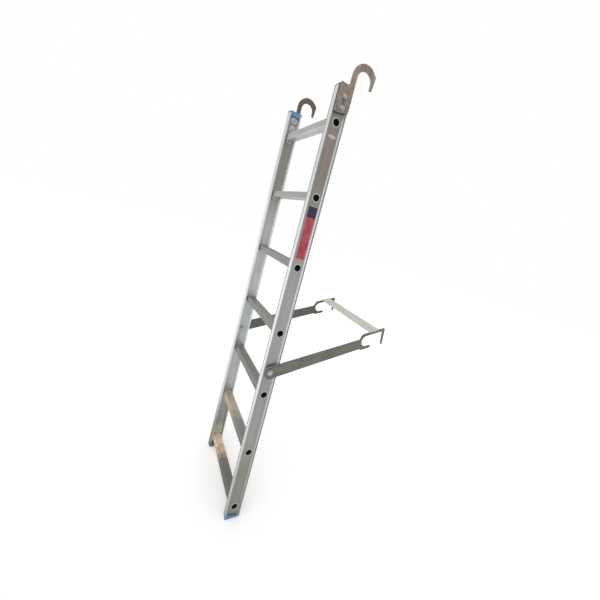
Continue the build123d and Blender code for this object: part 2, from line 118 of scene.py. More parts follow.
class LadderFinish(PropertyGroup):
    """Colours of the ladder's materials, and the sizes and places of their patterns."""

    # Flange: a painted highlight, the front and rear faces lighter than the sides for the light they catch
    flange: colour("Flange", "Burnished front and rear of the stiles", "#E4EAE9")
    # Dull flange: die lines, and also painted shade on the front flanges' edges
    flange_dull_and_shade: colour("Flange, dull", "Die lines and edges of the stiles' front and rear", "#BFC8C9")
    web: colour("Web", "Mill-finish outer sides of the stiles", "#979896")
    # Dull web: oxide clouds, and also painted shade on the outer lips, the flanges' inner edges and near the
    # foot
    web_dull_and_shade: colour("Web, dull", "Clouds of oxide on the stiles' sides", "#838381")
    # Painted light: the inner sides of the stiles are lighter for the light that falls on them
    web_inner_painted_light: colour("Web, inner", "Sheltered inner sides of the stiles", "#BFC1C0")
    grime: colour("Grime", "Brown hand grime near the top of the stiles", "#80776D")
    algae: colour("Algae", "Olive grime near the foot of the stiles", "#7A7B6C")
    # Painted shade low on the left stile and on its foot
    left_foot_shade: colour("Soil", "Wet soil low on the left stile and on its foot", "#4C4E45")
    rub_mark: colour("Rub mark", "Pale mark rubbed under the top rung", "#D8CDC3")
    # Lighter upper rungs and darker lower rungs: trodden wear, and painted shade for how light falls on the
    # faces seen
    tread: colour("Rung", "Cleaner aluminium of the upper rungs", "#ABACAA")
    tread_dull_and_shade: colour("Rung, dull", "Trodden aluminium of the lower rungs", "#82827D")
    rung_wet: colour("Rung, damp", "Dark damp dirt on the lowest rung", "#66655F")
    # Bright tone of the swaged beads, and also painted light on the rungs' undersides
    swage_and_underside_light: colour("Swage", "Bright metal of the beads and of the rungs' undersides", "#D6D7D5")
    collar: colour("Collar", "Upset metal of the rungs' collars", "#ACADAB")
    # Bore: painted shade inside the rungs
    bore: colour("Bore", "Dark oxide inside the rungs", "#3A3B39")
    mud: colour("Mud", "Dry mud that boots leave on the lowest rungs", "#E0CAAD")
    dust: colour("Dust", "Pale dried splashes on the stiles", "#CFCDB6")
    hook: colour("Hook", "Zinc-plated steel of the hooks", "#9C9086")
    hook_dull: colour("Hook, dull", "Darker bloom on the hooks' plating", "#635B54")
    arm: colour("Arm", "Galvanised steel of the stand-off arms", "#767670")
    arm_dull: colour("Arm, dull", "Darker spangle on the arms", "#5E5E58")
    crossbar: colour("Crossbar", "Bright galvanised steel of the crossbar", "#CFCEC6")
    crossbar_dull: colour("Crossbar, dull", "Darker spangle on the crossbar", "#A9A79C")
    # Rubbed steel: bare steel on the hooks, and also a painted highlight on the arms' edges
    rubbed: colour("Rubbed steel", "Bare steel where tubes and washers rub", "#B7B3AC")
    zinc: colour("Zinc", "Bright zinc plating of bolts, nuts and washers", "#B2B9C0")
    zinc_dull: colour("Zinc, dull", "White bloom and grime on the plating", "#85837E")
    passivated: colour("Passivated zinc", "Warm zinc plating of the hook bolts", "#A79E94")
    passivated_dull: colour("Passivated zinc, dull", "Brown bloom on that plating", "#7B746C")
    weld: colour("Weld", "Heat-tinted bead under the crossbar", "#8A857C")
    plastic: colour("Plastic", "Moulded blue polypropylene of caps and feet", "#517F9E")
    plastic_worn: colour("Plastic, worn", "Chalky scuffs on the plastic", "#86A6BA")
    label_field: colour("Label field", "Printed field of the label", "#A02335")
    label_head: colour("Label head", "Printed block at the top of the label", "#18152B")
    label_line: colour("Label line", "Plain line round the label's field", "#D6B3B6")
    aluminium_metal: FloatProperty(
        name="Aluminium metal", description="Metallic share of the oxidised aluminium",
        default=0.5, min=0, max=1,
    )
    die_line: length("Die line", "Width of the extrusion lines, drawn coarser than the real 0.3 mm", 3)
    die_run: length("Die line run", "Length over which an extrusion line fades", 700)
    cloud: length("Oxide cloud", "Width of the dull clouds on bare aluminium", 60)
    splash: length("Splash", "Width of the mud splashes", 22)
    spangle: length("Spangle", "Width of the crystals in the zinc coating", 14)
    hook_marks: lengths("Hook marks", "Roller marks along X, Y and Z", 10, 10, 60)
    arm_marks: lengths("Arm marks", "Roller marks along X, the arm and its depth", 10, 90, 7)
    bar_marks: lengths("Crossbar marks", "Roller marks along X, Y and Z", 160, 8, 8)
    cut_line: length("Cut line", "Spacing of the drag lines on cut plate edges", 1.4)
    cut_run: length("Cut line run", "Length of a drag line, more than the plates are thick", 20)
    bloom: length("Bloom", "Width of the dull spots on zinc plating", 5)
    heat_tint: length("Heat tint", "Width of the tinted spots across a weld", 3)
    scuff: length("Scuff", "Width of the scuffs on the plastic", 9)
    grain: length("Plastic grain", "Spacing of the moulded grain, drawn coarser than the real 0.2 mm", 0.8)
    label_fade: lengths("Label fade", "Faded patches along X, Y and Z", 30, 14, 40)
    label_head_height: length("Label head height", "Height of the label's top block", 41.6)
    label_line_width: length("Label line width", "Width of the line round the label's field", 1.5)
    rub_place: lengths("Rub mark place", "Middle of the rub mark on the right stile", 218.5, -64, -221)
    rub_size: lengths("Rub mark size", "Half lengths of the rub mark", 10, 21, 8)
    hook_rub: length("Hook rub", "Radius about the tube's axis that is rubbed", 31.5)
    # Radius of the rubbing and painted highlight on the arms' edges
    arm_rub_and_highlight: length("Arm rub", "Radius about the pivot that is rubbed", 46)
    # Where a layer starts to show and where it is full: heights over a level, or places along X
    grime_heights: lengths("Grime heights", "Over the stiles' tops, start and full", -720, -330)
    top_heights: lengths("Dull top heights", "Over the stiles' tops, start and full", -480, -280)
    # Painted shade on the flanges near the foot
    foot_shade_heights: lengths("Dull foot heights", "Over the stiles' feet, start and full", 640, 0)
    algae_heights: lengths("Algae heights", "Over the stiles' feet, start and full", 420, 250)
    # Heights of the painted shade low on the left stile
    flange_shade_heights: lengths("Flange soil heights", "Over the left stile's foot, start and full", 330, 30)
    web_shade_heights: lengths("Web soil heights", "Over the left stile's foot, start and full", 45, 25)
    dust_heights: lengths("Dust heights", "Over the lowest rung, start and full", 109, 9)
    dust_sides: lengths("Dust sides", "Along X, start and full", 50, -150)
    smear_heights: lengths("Smear heights", "Over the lowest rung, start and full", 449, 349)
    smear_sides: lengths("Smear sides", "Along X, start and full", 90, -100)
    caked_heights: lengths("Mud heights", "Over the lowest rung, start and full", 229, 29)
    caked_sides: lengths("Mud sides", "Along X, start and full", 0, -140)
    damp_heights: lengths("Damp heights", "Over the lowest rung, start and full", 229, 29)


class LadderDetail(PropertyGroup):
    """Sizes of the small pieces and broken edges."""

    plate_edge: length("Plate edge", "Rounding of the deburred plate edges", 0.7)
    plastic_edge: length("Plastic edge", "Rounding of the moulded edges", 0.5)
    neck_bore: length("Neck bore", "Radius of the open bore in a rung's neck", 13.4)
    hook_flats: length("Hook bolt flats", "Width across the flats of the hook bolts' heads", 16)
    hook_thread: length("Hook bolt thread", "Diameter of the hook bolts", 10)
    hook_pitch: length("Hook bolt pitch", "Thread pitch of the hook bolts", 1.5)
    pivot_thread: length("Pivot bolt thread", "Diameter of the pivot bolts", 12)
    pivot_pitch: length("Pivot bolt pitch", "Thread pitch of the pivot bolts", 1.75)
    thread_height: length("Thread height", "Height of the thread's ridge over the bolt", 0.45)
    round_steps: IntProperty(name="Round steps", description="Steps in a turn of a round", default=40, min=8)
    arm_rise: angle("Arm rise", "Angle of the arms above level at rest", 18.2)
    bar_thickness: length("Crossbar thickness", "Thickness of the flat crossbar", 5)
    weld_leg: length("Weld leg", "Leg of the fillet weld under the crossbar", 4.6)
    weld_inset: length("Weld inset", "Distance of a weld's ends from the crossbar's edges", 4)
    weld_length: length("Weld length", "Length of a weld under the crossbar", 45)
    weld_ripple: length("Weld ripple", "Spacing of the ripples in a weld bead", 2.6)


class LadderStage(PropertyGroup):
    """The studio and the camera."""

    camera_place: lengths("Camera place", "Where the camera stands", 1198.3, -595.1, -569.9)
    camera_azimuth: angle("Camera azimuth", "Turn from looking along +Y towards looking along -X", 60.503)
    camera_elevation: angle("Camera elevation", "Tilt above level", -8.02)
    camera_roll: angle("Camera roll", "Turn about the line of sight, because the ladder leans", 15.018)
    focal_pixels: FloatProperty(name="Focal length", description="Focal length in pixels", default=284.76)
    centre_pixel: FloatVectorProperty(
        name="Optical centre", description="Pixel on the camera's axis", size=2, default=(302.11, 268.88),
    )
    floor_size: length("Floor", "Side of the square floor", 40000)
    paper: colour("Paper", "Plain white paper of the floor", "#F4F4F4")
    near_glow: FloatProperty(name="Near glow", description="Light added to the lit floor", default=0.1)
    far_glow: FloatProperty(name="Far glow", description="Light added to the far floor", default=0.56)
    pool_middle: lengths("Pool middle", "Middle of the lamps' pool of light on the floor", 600, -600)
    pool_radius: length("Pool radius", "Radius within which the lamps light the floor", 3600)
    sky: FloatProperty(name="Sky", description="Strength of the even light from all round", default=0.68)
    key_power: FloatProperty(name="Key", description="Power of the front light", unit="POWER", default=42.0)
    key_size: lengths("Key size", "Width and height of the soft light in front", 3600, 4000)
    key_place: lengths("Key place", "Middle of the soft light in front", 1500, -2200, 200)
    top_power: FloatProperty(name="Top", description="Power of the light above", unit="POWER", default=30.0)
    top_size: lengths("Top size", "Width and length of the soft light above", 3000, 3000)
    top_place: lengths("Top place", "Middle of the soft light above", 200, -400, 2000)


def feed(node, settings):
    """Set a node's properties and inputs by name or number: a socket given as a value is linked, and a
    colour gets the alpha that colour inputs have."""
    for key, value in settings.items():
        if isinstance(value, NodeSocket):
            node.id_data.links.new(value, node.inputs[key])
        elif isinstance(key, str) and hasattr(node, key):
            setattr(node, key, value)
        else:
            node.inputs[key].default_value = (*value, 1.0) if isinstance(value, Color) else value
    return node


def add(tree, kind, settings=None):
    """Add a node with its settings and links."""
    return feed(tree.nodes.new(kind), settings or {})


def start_material(name):
    """A new material, its tree and shader, and the places and normals of its piece in the ladder's frame."""
    material = bpy.data.materials.new(name)
    material.use_nodes = True
    tree = material.node_tree
    return material, tree, tree.nodes["Principled BSDF"], add(tree, "ShaderNodeTexCoord").outputs


def mottle(tree, place, sizes, detail=2.0):
    """An uneven pattern from 0 to 1, whose patches have their own length along each axis."""
    spread = add(tree, "ShaderNodeMapping", {"Vector": place, "Scale": [1 / size for size in sizes]})
    noise = add(tree, "ShaderNodeTexNoise", {"Vector": spread.outputs[0], "Scale": 1.0, "Detail": detail})
    return noise.outputs[0]


def laid_over(tree, tone, paint, mask, start, full, most=1.0):
    """Lay a second tone over the first: none where the mask is at start, most where it is at full."""
    share = add(tree, "ShaderNodeMapRange", {
        "Value": mask, "From Min": start, "From Max": full, "To Max": most,
    })
    mixed = add(tree, "ShaderNodeMix", {"data_type": "RGBA", 0: share.outputs[0], 6: tone, 7: paint})
    return mixed.outputs[2]


def at_heights(tree, tone, paint, spot, level, heights, most=1.0):
    """Lay a second tone over the first: none at the first height over a level, and most at the second."""
    return laid_over(tree, tone, paint, spot["Z"], level + heights[0], level + heights[1], most)


def on_left(tree, tone, paint, spot, most=1.0):
    """Lay a second tone over the first on the ladder's left side only."""
    return laid_over(tree, tone, paint, spot["X"], 0.0, -LEFT_BLEND, most)


def roughness(tree, pattern, smooth, rough, start=0.3):
    """A roughness that follows a pattern: smooth where the pattern is at start, rough where it is high."""
    share = add(tree, "ShaderNodeMapRange", {
        "Value": pattern, "From Min": start, "From Max": 0.7, "To Min": smooth, "To Max": rough,
    })
    return share.outputs[0]


def mud_thickness(tree, place, finish, heights, sides):
    """How thick dry mud lies: none at the first height and side, and most at the second, lower and further
    left, where boots step off. Heights count from the lowest rung's axis."""
    spot = add(tree, "ShaderNodeSeparateXYZ", {"Vector": place}).outputs
    start, full = (middle(numbered_rungs()[0]).z + height for height in heights)
    low = add(tree, "ShaderNodeMapRange", {"Value": spot["Z"], "From Min": start, "From Max": full})
    left = add(tree, "ShaderNodeMapRange", {"Value": spot["X"], "From Min": sides[0], "From Max": sides[1]})
    near = add(tree, "ShaderNodeMath", {"operation": "MULTIPLY", 0: low.outputs[0], 1: left.outputs[0]})
    splash = mottle(tree, place, [finish.splash] * 3, detail=5.0)
    return add(tree, "ShaderNodeMath", {"operation": "MULTIPLY", 0: near.outputs[0], 1: splash}).outputs[0]


def metal_under(tree, finish, thick):
    """The metallic share of oxidised aluminium under mud of some thickness."""
    share = add(tree, "ShaderNodeMapRange", {
        "Value": thick, "From Min": 0.1, "From Max": 0.5, "To Min": finish.aluminium_metal, "To Max": 0.05,
    })
    return share.outputs[0]


def dress(material, *names):
    """Give CAD nodes a material."""
    for name in names:
        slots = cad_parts[name].material_slots
        if not slots:
            raise RuntimeError(f"{name} has no material slot")
        for slot in slots:
            slot.material = material


def soften(width, *names):
    """Break the sharp edges of CAD nodes with a small round."""
    for name in names:
        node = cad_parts[name]
        joined = node.modifiers.new("joined_corners", "WELD")
        joined.merge_threshold = 1e-6
        bevel = node.modifiers.new("broken_edges", "BEVEL")
        bevel.width = width
        bevel.segments = 2
        bevel.limit_method = "ANGLE"
        bevel.angle_limit = math.radians(40)
        bevel.harden_normals = True


def paired(name):
    """A CAD node's right and left names."""
    return [f"{name}_{side}" for side in SIDES]


def numbered_rungs():
    """The rungs' node names, from the lowest up."""
    return sorted(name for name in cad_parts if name.startswith("rung_"))


def middle(name):
    """The middle of a CAD node's box."""
    low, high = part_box(name)
    return (low + high) / 2


def inner_end(name, side):
    """The X of a fastener's end towards the middle of the ladder, and the Y and Z of its box's middle."""
    low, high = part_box(f"{name}_{side}")
    centre = (low + high) / 2
    return Vector((low.x if side == "right" else high.x, centre.y, centre.z))


def new_piece(name, points, faces, material, body, slot):
    """A new mesh piece that rides a body and takes its finish from a material. The slot is not used."""
    mesh = bpy.data.meshes.new(name)
    mesh.from_pydata(points, [], faces)
    mesh.validate()
    mesh.shade_smooth()
    mesh.set_sharp_from_angle(angle=math.radians(50))
    mesh.materials.append(material)
    piece = bpy.data.objects.new(name, mesh)
    bpy.context.scene.collection.objects.link(piece)
    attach(piece, body)


def skin(rows, ring=False):
    """The points and faces of a closed skin over rows of points, each row a loop. In a ring the last row
    joins the first, and otherwise each end gets a cap."""
    count = len(rows[0])
    starts = [i * count for i in range(len(rows))]
    following = starts[1:] + starts[:1] if ring else starts[1:]
    faces = []
    for here, there in zip(starts, following):
        for j in range(count):
            k = (j + 1) % count
            faces.append((here + j, here + k, there + k, there + j))
    if not ring:
        faces.append(tuple(reversed(range(count))))
        faces.append(tuple(starts[-1] + j for j in range(count)))
    return [point for row in rows for point in row], faces


def turned_ring(centre, profile, steps):
    """A ring turned about X: its closed profile has distances along X and radii."""
    rows = []
    for i in range(steps):
        turn = 2 * math.pi * i / steps
        across, up = math.cos(turn), math.sin(turn)
        rows.append([centre + Vector((x, r * across, r * up)) for x, r in profile])
    return skin(rows, ring=True)


def thread(detail, start, end, radius, pitch):
    """A screw thread round X from start to end: a ridge over a round, run out at both ends."""
    rows_per_turn = 12
    run_out_share = 0.2
    ridge_half_width = 0.4
    sunk = 0.05 * MM
    root = radius - sunk
    steps = detail.round_steps
    span = end.x - start.x
    row_count = max(2, round(abs(span) / pitch * rows_per_turn))
    rows = []
    for i in range(row_count + 1):
        share = i / row_count
        run_out = min(1.0, share / run_out_share, (1 - share) / run_out_share)
        row = []
        for j in range(steps):
            turn = 2 * math.pi * j / steps
            phase = (share * abs(span) / pitch - j / steps) % 1.0
            ridge = max(0.0, 1 - abs(phase - 0.5) / ridge_half_width)
            r = root + detail.thread_height * ridge * run_out
            row.append(start + Vector((share * span, r * math.cos(turn), r * math.sin(turn))))
        rows.append(row)
    return skin(rows)


class LADDER_OT_finish_stiles(Operator):
    """Give both stiles their extruded aluminium"""

    bl_idname = "ladder.finish_stiles"
    bl_label = "Finish stiles"

    # Depths under a stile's side at which its raised lips start and are full
    lip_depths = (1.0 * MM, 0.5 * MM)
    # Distance from the rear at which the painted shade on the outer lip is full
    lip_shade_reach = 8 * MM
    # Distances from a flange's edges at which their painted shade starts and is full
    edge_depths = (4 * MM, 1 * MM)
    # Distances from a flange's middle, towards its inner edge, at which painted shade starts and is full
    inner_edge_shade = (3 * MM, 8 * MM)
    # Distances from a stile's middle at which a layer for its inner side, and for its front or rear, is full
    inner_blend = 1 * MM
    half_blend = 5 * MM

    def execute(self, context):
        # Mill-finish aluminium, extruded: front and rear painted brighter than the sunk sides, a painted
        # highlight for the light they catch, the sunk sides with clouds of oxide, and fine lines from the die
        # along the whole length
        finish = context.scene.ladder_finish
        material, tree, shader, where = start_material("mill_aluminium_stile")
        place = where["Object"]
        face = add(tree, "ShaderNodeSeparateXYZ", {"Vector": where["Normal"]}).outputs
        frontal = add(tree, "ShaderNodeMath", {"operation": "ABSOLUTE", 0: face["Y"]}).outputs[0]
        spot = add(tree, "ShaderNodeSeparateXYZ", {"Vector": place}).outputs
        outward = add(tree, "ShaderNodeMath", {"operation": "ABSOLUTE", 0: spot["X"]}).outputs[0]
        lines = mottle(tree, place, (finish.die_line, finish.die_line, finish.die_run))
        dust = mud_thickness(tree, place, finish, finish.dust_heights, finish.dust_sides)
        web = self.web_tone(tree, finish, place, spot, outward, lines, dust)
        flange = self.flange_tone(tree, finish, spot, outward, lines)
        # Faces towards the front and rear take the flange tone: painted light, brighter than the sides
        tone = laid_over(tree, web, flange, frontal, start=0.35, full=0.6)
        bump = add(tree, "ShaderNodeBump", {"Strength": 0.12, "Distance": 0.2 * MM, "Height": lines})
        feed(shader, {
            "Metallic": metal_under(tree, finish, dust), "Base Color": tone,
            "Roughness": roughness(tree, lines, smooth=0.26, rough=0.42), "Normal": bump.outputs[0],
        })
        dress(material, *paired("stile"))
        return {"FINISHED"}

    def web_tone(self, tree, finish, place, spot, outward, lines, dust):
        """The sunk sides: painted lighter on the inner side, with grime above, algae and dust below, painted
        shade low on the left stile, a rub mark, clouds, die lines, and a rear lip with painted shade outside
        and a painted highlight inside."""
        low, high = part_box("stile_right")
        centre = (low + high) / 2
        lip_start, lip_full = self.lip_depths
        clouds = mottle(tree, place, (finish.cloud, finish.cloud, 4 * finish.cloud), detail=4.0)
        spread = add(tree, "ShaderNodeMapping", {
            "vector_type": "TEXTURE", "Vector": place, "Location": finish.rub_place, "Scale": finish.rub_size,
        })
        away = add(tree, "ShaderNodeVectorMath", {"operation": "LENGTH", 0: spread.outputs[0]})
        # Inner sides painted lighter than the outer sides, for the light they catch
        tone = laid_over(tree, finish.web, finish.web_inner_painted_light, outward, centre.x, centre.x - self.inner_blend)
        tone = at_heights(tree, tone, finish.grime, spot, high.z, finish.grime_heights, most=0.9)
        tone = at_heights(tree, tone, finish.algae, spot, low.z, finish.algae_heights, most=0.7)
        tone = laid_over(tree, tone, finish.rub_mark, away.outputs["Value"], start=1.0, full=0.5, most=0.75)
        tone = laid_over(tree, tone, finish.web_dull_and_shade, clouds, start=0.38, full=0.62, most=0.38)
        tone = laid_over(tree, tone, finish.flange_dull_and_shade, lines, start=0.55, full=0.8, most=0.4)
        # Painted shade on the rear half of the outer lip
        lip = laid_over(tree, tone, finish.web_dull_and_shade, spot["Y"], centre.y, high.y - self.lip_shade_reach)
        tone = laid_over(tree, tone, lip, outward, high.x - lip_start, high.x - lip_full)
        # Painted highlight: the rear half of the inner lip takes the bright flange tone
        lip = laid_over(tree, tone, finish.flange, spot["Y"], centre.y, centre.y + self.half_blend, most=0.8)
        tone = laid_over(tree, tone, lip, outward, low.x + lip_start, low.x + lip_full)
        tone = laid_over(tree, tone, finish.dust, dust, MUD_SHOWS, MUD_COVERS, most=0.95)
        # Painted shade low on the left stile
        left_foot_shaded = at_heights(tree, tone, finish.left_foot_shade, spot, low.z, finish.web_shade_heights, most=0.8)
        return on_left(tree, tone, left_foot_shaded, spot)

    def flange_tone(self, tree, finish, spot, outward, lines):
        """The front and rear: painted light between dull die lines, with painted shade on the edges in front,
        most of all on the right stile, darker towards the top, and painted shade towards the foot and low on
        the left stile."""
        low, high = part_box("stile_right")
        centre = (low + high) / 2
        half_width = (high.x - low.x) / 2
        off = add(tree, "ShaderNodeMath", {"operation": "SUBTRACT", 0: outward, 1: centre.x}).outputs[0]
        aside = add(tree, "ShaderNodeMath", {"operation": "ABSOLUTE", 0: off}).outputs[0]
        tone = laid_over(tree, finish.flange, finish.flange_dull_and_shade, lines, start=0.45, full=0.75)
        # Painted shade on the front flange's edges, and more towards its inner edge
        start, full = (half_width - depth for depth in self.edge_depths)
        edged = laid_over(tree, tone, finish.flange_dull_and_shade, aside, start, full)
        start, full = (-distance for distance in self.inner_edge_shade)
        edged = laid_over(tree, edged, finish.web_dull_and_shade, off, start, full, most=0.85)
        front = laid_over(tree, tone, edged, spot["Y"], centre.y, centre.y - self.half_blend)
        tone = on_left(tree, front, tone, spot, most=0.6)
        tone = at_heights(tree, tone, finish.web, spot, high.z, finish.top_heights, most=0.35)
        # Painted shade towards the foot
        tone = at_heights(tree, tone, finish.web_dull_and_shade, spot, low.z, finish.foot_shade_heights, most=0.65)
        # Painted shade low on the left stile
        left_foot_shaded = at_heights(tree, tone, finish.left_foot_shade, spot, low.z, finish.flange_shade_heights, most=0.85)
        return on_left(tree, tone, left_foot_shaded, spot)


class LADDER_OT_finish_rungs(Operator):
    """Give the rungs their extruded aluminium"""

    bl_idname = "ladder.finish_rungs"
    bl_label = "Finish rungs"

    # Rung pitches over the top rung at which the rungs' trodden wear and painted shade start and are full
    wear_and_shade_pitches = (-0.4, -2.1)
    # Depths in a stile, from its inner side, at which a rung turns to its bead
    bead_depths = (6 * MM, 8 * MM)
    # Depths in a stile, from its outer side, at which a rung turns to its collar
    collar_depths = (8.5 * MM, 7.5 * MM)
    # Distances outside a neck's bore at which its painted shade starts and is full
    bore_margins = (0.6 * MM, 0.2 * MM)
    # How far a surface may face away from the rung's axis, as a distance along its normal, to be in the bore
    facing_margins = (0.6 * MM, 0.1 * MM)

    def execute(self, context):
        # Mill-finish aluminium, extruded and swaged: satin grey with lines along the rung, darker on the
        # lower rungs for trodden wear and painted shade, bright on the upset beads, painted light on the
        # undersides, muddy and damp low down, and painted shade inside the open necks
        finish = context.scene.ladder_finish
        bore = context.scene.ladder_detail.neck_bore
        material, tree, shader, where = start_material("mill_aluminium_rung")
        place = where["Object"]
        spot = add(tree, "ShaderNodeSeparateXYZ", {"Vector": place}).outputs
        outward = add(tree, "ShaderNodeMath", {"operation": "ABSOLUTE", 0: spot["X"]}).outputs[0]
        upward = add(tree, "ShaderNodeSeparateXYZ", {"Vector": where["Normal"]}).outputs["Z"]
        lines = mottle(tree, place, (finish.die_run, finish.die_line, finish.die_line))
        clouds = mottle(tree, place, (3 * finish.cloud, finish.cloud, finish.cloud), detail=4.0)
        rungs = numbered_rungs()
        lowest, top = middle(rungs[0]), middle(rungs[-1])
        pitch = (top.z - lowest.z) / (len(rungs) - 1)
        stile_low, stile_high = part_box("stile_right")
        worn = [count * pitch for count in self.wear_and_shade_pitches]
        # Lower rungs darker: trodden wear and painted shade
        tone = at_heights(tree, finish.tread, finish.tread_dull_and_shade, spot, top.z, worn)
        tone = laid_over(tree, tone, finish.tread_dull_and_shade, clouds, start=0.45, full=0.7, most=0.5)
        tone = laid_over(tree, tone, finish.swage_and_underside_light, lines, start=0.55, full=0.8, most=0.35)
        start, full = (stile_low.x + depth for depth in self.bead_depths)
        tone = laid_over(tree, tone, finish.swage_and_underside_light, outward, start, full, most=0.9)
        # Painted light: downward faces lighter
        tone = laid_over(tree, tone, finish.swage_and_underside_light, upward, start=-0.4, full=-0.8, most=0.85)
        smear = mud_thickness(tree, place, finish, finish.smear_heights, finish.smear_sides)
        tone = laid_over(tree, tone, finish.mud, smear, MUD_SHOWS, MUD_COVERS, most=0.5)
        tone = at_heights(tree, tone, finish.rung_wet, spot, lowest.z, finish.damp_heights, most=0.8)
        caked = mud_thickness(tree, place, finish, finish.caked_heights, finish.caked_sides)
        tone = laid_over(tree, tone, finish.mud, caked, MUD_SHOWS, MUD_COVERS, most=0.95)
        start, full = (stile_high.x - depth for depth in self.collar_depths)
        tone = laid_over(tree, tone, finish.collar, outward, start, full)
        reach, facing = self.from_axis(tree, spot, where["Normal"], top, pitch)
        start, full = (bore + margin for margin in self.bore_margins)
        # Painted shade inside the open necks
        inside = laid_over(tree, tone, finish.bore, reach, start, full)
        tone = laid_over(tree, tone, inside, facing, *self.facing_margins)
        bump = add(tree, "ShaderNodeBump", {"Strength": 0.12, "Distance": 0.2 * MM, "Height": lines})
        feed(shader, {
            "Metallic": metal_under(tree, finish, caked), "Base Color": tone,
            "Roughness": roughness(tree, lines, smooth=0.28, rough=0.45), "Normal": bump.outputs[0],
        })
        dress(material, *rungs)
        return {"FINISHED"}

    def from_axis(self, tree, spot, normal, axis, pitch):
        """The distance from the nearest rung's axis, and its part along the surface's normal."""
        height = add(tree, "ShaderNodeMath", {
            "operation": "WRAP", 0: spot["Z"], 1: axis.z + pitch / 2, 2: axis.z - pitch / 2,
        }).outputs[0]
        radial = add(tree, "ShaderNodeCombineXYZ", {"Y": spot["Y"], "Z": height}).outputs[0]
        spoke = add(tree, "ShaderNodeVectorMath", {
            "operation": "SUBTRACT", 0: radial, 1: (0, axis.y, axis.z),
        }).outputs[0]
        reach = add(tree, "ShaderNodeVectorMath", {"operation": "LENGTH", 0: spoke})
        facing = add(tree, "ShaderNodeVectorMath", {"operation": "DOT_PRODUCT", 0: spoke, 1: normal})
        return reach.outputs["Value"], facing.outputs["Value"]


class LADDER_OT_finish_plastic(Operator):
    """Give the caps and feet their moulded plastic"""

    bl_idname = "ladder.finish_plastic"
    bl_label = "Finish caps and feet"

    def execute(self, context):
        # Polypropylene, injection moulded: even satin blue with a fine moulded grain and chalky scuffs, and
        # painted shade on the left foot
        finish = context.scene.ladder_finish
        material, tree, shader, where = start_material("moulded_polypropylene")
        place = where["Object"]
        spot = add(tree, "ShaderNodeSeparateXYZ", {"Vector": place}).outputs
        scuffs = mottle(tree, place, [finish.scuff] * 3, detail=6.0)
        grain = mottle(tree, place, [finish.grain] * 3)
        tone = laid_over(tree, finish.plastic, finish.plastic_worn, scuffs, start=0.52, full=0.72, most=0.7)
        # Painted shade on the left foot
        start, full = middle("top_cap_left").z, middle("foot_left").z
        left_foot_shaded = laid_over(tree, tone, finish.left_foot_shade, spot["Z"], start, full, most=0.6)
        tone = on_left(tree, tone, left_foot_shaded, spot)
        rough = roughness(tree, scuffs, smooth=0.4, rough=0.6, start=0.4)
        bump = add(tree, "ShaderNodeBump", {"Strength": 0.15, "Distance": 0.1 * MM, "Height": grain})
        feed(shader, {"IOR": 1.49, "Base Color": tone, "Roughness": rough, "Normal": bump.outputs[0]})
        plastic = paired("top_cap") + paired("foot")
        dress(material, *plastic)
        soften(context.scene.ladder_detail.plastic_edge, *plastic)
        return {"FINISHED"}


def coated_steel(name, finish, clean, dull, marks, turn=0.0, rub=None, left_darkening=1.0):
    """Zinc-coated plate: grey metal with a mottled spangle, long faint roller marks, drag lines from cutting
    across its edges, lighter edges near an axis along X that something rubs about, which are bare steel and
    on the arms also a painted highlight, and a left side that is darker."""
    rub_blend = 3 * MM
    material, tree, shader, where = start_material(name)
    place = where["Object"]
    spot = add(tree, "ShaderNodeSeparateXYZ", {"Vector": place}).outputs
    crystals = add(tree, "ShaderNodeTexVoronoi", {"Vector": place, "Scale": 1 / finish.spangle})
    crystal = add(tree, "ShaderNodeSeparateColor", {"Color": crystals.outputs["Color"]}).outputs[0]
    level = add(tree, "ShaderNodeMapping", {"Vector": place, "Rotation": (turn, 0, 0)}).outputs[0]
    rolled = mottle(tree, level, marks, detail=3.0)
    across = add(tree, "ShaderNodeSeparateXYZ", {"Vector": where["Normal"]}).outputs["X"]
    facing = add(tree, "ShaderNodeMath", {"operation": "ABSOLUTE", 0: across}).outputs[0]
    edge = add(tree, "ShaderNodeMapRange", {"Value": facing, "From Min": 0.6, "From Max": 0.3}).outputs[0]
    tone = laid_over(tree, clean, dull, crystal, start=0.0, full=1.0, most=0.35)
    tone = laid_over(tree, tone, dull, rolled, start=0.4, full=0.7, most=0.9)
    if rub:
        axis, radius = rub
        radial = add(tree, "ShaderNodeCombineXYZ", {"Y": spot["Y"], "Z": spot["Z"]}).outputs[0]
        reach = add(tree, "ShaderNodeVectorMath", {
            "operation": "DISTANCE", 0: radial, 1: (0, axis.y, axis.z),
        })
        # Lighter edges near the axis: rubbed bare steel, and on the arms also a painted highlight
        worn = laid_over(tree, tone, finish.rubbed, edge, start=0.0, full=1.0, most=0.85)
        tone = laid_over(tree, tone, worn, reach.outputs["Value"], radius + rub_blend, radius)
    # Darker on the left side
    tone = on_left(tree, tone, dull, spot, most=left_darkening)
    drag = mottle(tree, place, (finish.cut_run, finish.cut_line, finish.cut_line))
    height = add(tree, "ShaderNodeMath", {"operation": "MULTIPLY", 0: edge, 1: drag}).outputs[0]
    bump = add(tree, "ShaderNodeBump", {"Strength": 0.4, "Distance": 0.3 * MM, "Height": height})
    rough = roughness(tree, rolled, smooth=0.34, rough=0.5)
    feed(shader, {"Metallic": 0.9, "Base Color": tone, "Roughness": rough, "Normal": bump.outputs[0]})
    return material


class LADDER_OT_finish_hooks(Operator):
    """Give the hooks their zinc-plated steel"""

    bl_idname = "ladder.finish_hooks"
    bl_label = "Finish hooks"

    def execute(self, context):
        # The tube that rubs the hooks lies on the frame's origin
        finish = context.scene.ladder_finish
        plate = coated_steel(
            "zinc_plated_plate", finish, finish.hook, finish.hook_dull, finish.hook_marks,
            rub=(Vector(), finish.hook_rub),
        )
        dress(plate, *paired("hook"))
        soften(context.scene.ladder_detail.plate_edge, *paired("hook"))
        return {"FINISHED"}


